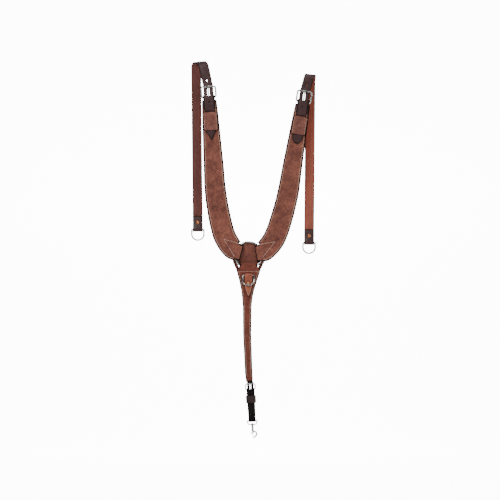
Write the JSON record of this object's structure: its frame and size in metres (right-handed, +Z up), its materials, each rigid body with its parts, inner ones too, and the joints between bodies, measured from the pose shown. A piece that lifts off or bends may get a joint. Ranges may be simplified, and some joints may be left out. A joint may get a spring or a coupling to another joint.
{
  "type": "western breast collar",
  "caption": "Leather breast collar with two contoured shoulder arms on a centre ring, buckled tug straps with dees, and a belly strap with a tie-down dee and a swivel trigger snap.",
  "frame": {"origin": "midpoint between the two hanging pegs, under the folds of the two tug straps", "axes": "+Z up along the hanging collar, +X to the viewer's right from the front, the front faces -Y"},
  "size_m": [0.3187, 0.0447, 0.9569],
  "materials": {
    "collar_leather": "rough-out vegetable-tanned leather, brown, edges dyed black",
    "tug_leather": "harness leather, oiled grain outside, pale flesh inside",
    "keeper_leather": "rough-out leather, brown",
    "belly_leather": "rough-out leather, reddish brown, edges dyed black",
    "dark_leather": "dark oiled harness leather",
    "tie_leather": "rough-out leather, light brown",
    "nickel_hardware": "polished nickel plate on steel",
    "copper_rivet": "polished copper"
  },
  "bodies": {
    "collar": {"left_collar_face": "collar_leather", "left_collar_lining": "collar_leather", "left_buckle_frame": "nickel_hardware", "left_buckle_chape": "dark_leather", "left_strap_keeper": "keeper_leather", "left_tug_strap": "tug_leather", "left_tug_rivet": "copper_rivet", "right_collar_face": "collar_leather", "right_collar_lining": "collar_leather", "right_buckle_frame": "nickel_hardware", "right_buckle_chape": "dark_leather", "right_strap_keeper": "keeper_leather", "right_tug_strap": "tug_leather", "right_tug_rivet": "copper_rivet", "ring_safe": "collar_leather"},
    "ring": {"centre_ring": "nickel_hardware"},
    "belly": {"belly_strap_face": "belly_leather", "belly_strap_lining": "belly_leather", "tie_down_tab": "tie_leather", "tie_down_rivet": "copper_rivet", "girth_chape": "dark_leather", "girth_buckle_frame": "nickel_hardware"},
    "tie_dee": {"tie_down_dee": "nickel_hardware"},
    "girth_tongue": {"girth_buckle_tongue": "nickel_hardware"},
    "girth_loop": {"girth_keeper": "dark_leather"},
    "snap_swivel_eye": {"snap_eye": "nickel_hardware"},
    "snap_hook": {"snap_body": "nickel_hardware", "snap_trigger_pin": "nickel_hardware"},
    "trigger": {"snap_trigger": "nickel_hardware"},
    "left_dee": {"left_tug_dee": "nickel_hardware"},
    "right_dee": {"right_tug_dee": "nickel_hardware"},
    "left_tongue": {"left_buckle_tongue": "nickel_hardware"},
    "right_tongue": {"right_buckle_tongue": "nickel_hardware"}
  },
  "joints": [
    {"name": "belly_swing", "type": "hinge", "parent": "collar", "child": "ring", "pos_m": [-0.019, -0.01055, -0.45985], "axis": [0, 1, 0], "range_deg": [-8, 8]},
    {"name": "belly_fore_aft", "type": "hinge", "parent": "ring", "child": "belly", "pos_m": [-0.019, -0.01055, -0.48925], "axis": [1, 0, 0], "range_deg": [0, 18]},
    {"name": "tie_down_dee_hinge", "type": "hinge", "parent": "belly", "child": "tie_dee", "pos_m": [-0.01943, -0.0187, -0.51085], "axis": [-1, 0, 0], "range_deg": [0, 130]},
    {"name": "girth_tongue_hinge", "type": "hinge", "parent": "belly", "child": "girth_tongue", "pos_m": [-0.01417, -0.00935, -0.80074], "axis": [0.9985, 0, 0.0541], "range_deg": [0, 10]},
    {"name": "girth_keeper_slide", "type": "slide", "parent": "belly", "child": "girth_loop", "axis": [0.0541, 0, -0.9985], "range_m": [0, 0.028]},
    {"name": "snap_eye_hinge", "type": "hinge", "parent": "belly", "child": "snap_swivel_eye", "pos_m": [-0.00995, -0.00935, -0.87862], "axis": [0.9985, 0, 0.0541], "range_deg": [-60, 60]},
    {"name": "snap_swivel", "type": "hinge", "parent": "snap_swivel_eye", "child": "snap_hook", "pos_m": [-0.00936, -0.00935, -0.88961], "axis": [-0.0541, 0, 0.9985], "continuous": true},
    {"name": "snap_trigger_hinge", "type": "hinge", "parent": "snap_hook", "child": "trigger", "pos_m": [-0.00876, -0.00935, -0.9081], "axis": [0, -1, 0], "range_deg": [0, 20], "stiffness_Nm_per_rad": 0.02, "springref_deg": -20.05},
    {"name": "left_dee_hinge", "type": "hinge", "parent": "collar", "child": "left_dee", "pos_m": [-0.14833, 0.0116, -0.39445], "axis": [0.9999, 0, 0.0105], "range_deg": [-100, 100]},
    {"name": "right_dee_hinge", "type": "hinge", "parent": "collar", "child": "right_dee", "pos_m": [0.13498, 0.0116, -0.42801], "axis": [1, 0, -0.0087], "range_deg": [-100, 100]},
    {"name": "left_tongue_hinge", "type": "hinge", "parent": "collar", "child": "left_tongue", "pos_m": [-0.11962, -0.01055, -0.05972], "axis": [0.9979, 0, 0.0654], "range_deg": [0, 10]},
    {"name": "right_tongue_hinge", "type": "hinge", "parent": "collar", "child": "right_tongue", "pos_m": [0.11951, -0.01055, -0.07121], "axis": [0.987, 0, -0.1607], "range_deg": [0, 10]}
  ]
}
